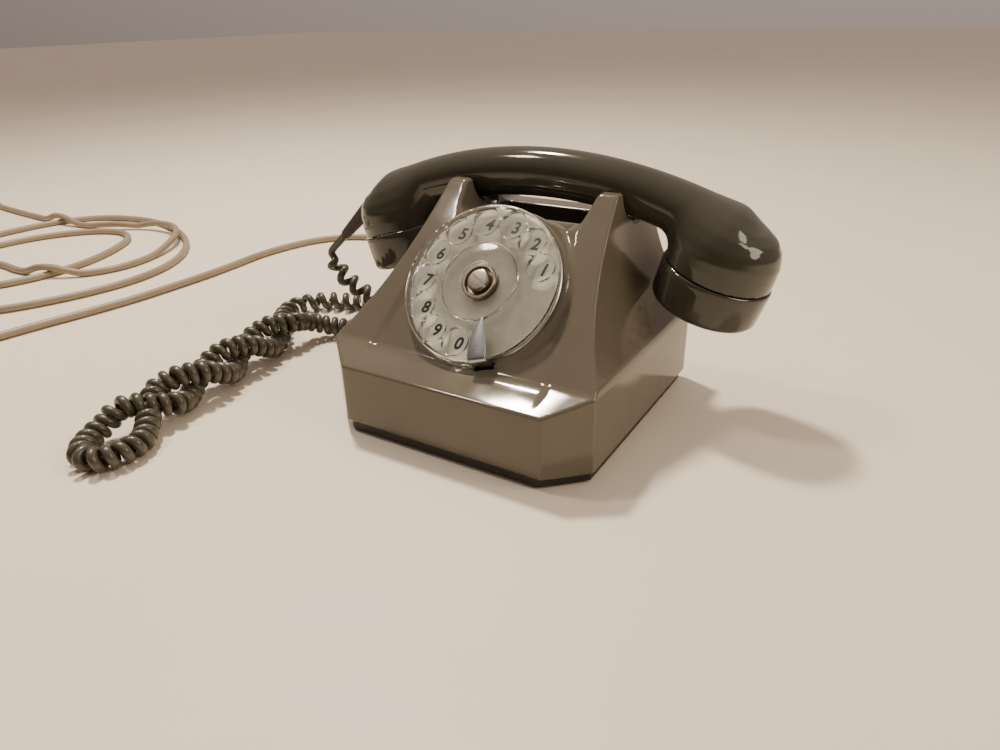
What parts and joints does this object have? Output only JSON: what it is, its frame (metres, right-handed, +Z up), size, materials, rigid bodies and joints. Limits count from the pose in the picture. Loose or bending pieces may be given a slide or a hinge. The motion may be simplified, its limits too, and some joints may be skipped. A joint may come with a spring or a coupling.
{
  "type": "rotary telephone",
  "caption": "Desk telephone with a rotary dial: moulded housing with cradle horns, clear finger wheel, bowed handset, ringer, twisted curly cord and line cord.",
  "frame": {"origin": "on the table under the middle of the housing and handset", "axes": "+X to the right of the person who uses it and along the handset, +Y to the phone's back, +Z up"},
  "size_m": [0.9063, 0.3758, 0.1234],
  "materials": {
    "housing_plastic": "glossy moulded plastic, warm taupe grey",
    "handset_plastic": "glossy moulded plastic, dark olive grey",
    "clear_acrylic": "clear polished plastic, slightly yellowed",
    "number_plate": "satin enamel, cream green",
    "dial_metal": "plain pressed metal",
    "steel": "plated steel",
    "brass": "dull brass",
    "bell_metal": "plated bell steel",
    "copper_winding": "varnished copper wire",
    "can_metal": "pressed metal",
    "bakelite": "dark moulded resin",
    "black_plastic": "matt black",
    "rubber": "dark brown rubber",
    "curly_cord": "glossy vinyl, olive grey",
    "line_cord": "satin vinyl, tan"
  },
  "bodies": {
    "base": {"housing": "housing_plastic", "base_plate": "black_plastic", "foot_1": "rubber", "foot_2": "rubber", "foot_3": "rubber", "foot_4": "rubber", "screw_front": "steel", "screw_rear": "steel", "gong_left": "bell_metal", "gong_right": "bell_metal", "gong_post_left": "steel", "gong_post_right": "steel", "gong_screw_left": "steel", "gong_screw_right": "steel", "ringer_coil_left": "copper_winding", "ringer_coil_right": "copper_winding", "ringer_frame": "steel", "clapper_pin": "steel", "induction_coil": "copper_winding", "capacitor": "can_metal", "terminal_block": "bakelite", "hook_bracket": "steel", "hook_spring": "steel", "hook_contacts": "bakelite", "dial_case": "dial_metal", "number_plate": "number_plate", "finger_stop": "steel", "governor_drum": "steel", "mainspring": "steel", "pulse_contacts": "bakelite", "line_cord_gland": "rubber", "curl_gland": "rubber", "line_cord": "line_cord", "curly_cord": "curly_cord", "curly_cord_tail": "curly_cord", "plug_body": "line_cord", "plug_pin_1": "brass", "plug_pin_2": "brass", "plug_pin_3": "brass"},
    "dial": {"finger_wheel": "clear_acrylic", "inner_disc": "clear_acrylic", "wheel_hub": "brass", "dial_shaft": "steel", "main_gear": "brass", "pulse_cam": "brass"},
    "governor": {"governor_pinion": "brass", "governor_shaft": "steel", "governor_weights": "brass"},
    "cradle": {"cradle_plunger_left": "black_plastic", "cradle_plunger_right": "black_plastic", "hook_yoke": "steel"},
    "hook_arm": {"hook_lever": "brass"},
    "striker": {"clapper": "steel"},
    "handset": {"handset_shell": "handset_plastic", "mouthpiece_cap": "handset_plastic", "earpiece_cap": "handset_plastic", "microphone_capsule": "can_metal", "receiver_capsule": "can_metal", "handset_strain_relief": "rubber", "curly_cord_lead": "curly_cord"}
  },
  "joints": [
    {"name": "dial_turn", "type": "hinge", "parent": "base", "child": "dial", "pos_m": [0, -0.0242, 0.0702], "axis": [0, 0.7513, -0.66], "range_deg": [0, 324], "stiffness_Nm_per_rad": 0.004, "springref_deg": -171.89},
    {"name": "governor_spin", "type": "hinge", "parent": "base", "child": "governor", "pos_m": [-0.01078, -0.00498, 0.08148], "axis": [0, 0.7513, -0.66], "range_deg": [-1230, 0]},
    {"name": "handset_lift", "type": "slide", "parent": "base", "child": "handset", "axis": [0, 0, 1], "range_m": [0, 0.08]},
    {"name": "cradle_travel", "type": "slide", "parent": "base", "child": "cradle", "axis": [0, 0, 1], "range_m": [0, 0.004], "stiffness_N_per_m": 100, "springref_m": 0.008},
    {"name": "hook_lever_swing", "type": "hinge", "parent": "base", "child": "hook_arm", "pos_m": [0.02, 0.022, 0.0646], "axis": [1, 0, 0], "range_deg": [0, 15]},
    {"name": "clapper_swing", "type": "hinge", "parent": "base", "child": "striker", "pos_m": [0, 0.011, 0.029], "axis": [0, 0, 1], "range_deg": [-6.5, 6.5], "stiffness_Nm_per_rad": 0.002}
  ],
  "couplings": [
    {"joint": "governor_spin", "follows": "dial_turn", "ratio": -3.75},
    {"joint": "cradle_travel", "follows": "handset_lift", "ratio": 0.05},
    {"joint": "hook_lever_swing", "follows": "handset_lift", "rad_per_m": 3.2}
  ]
}
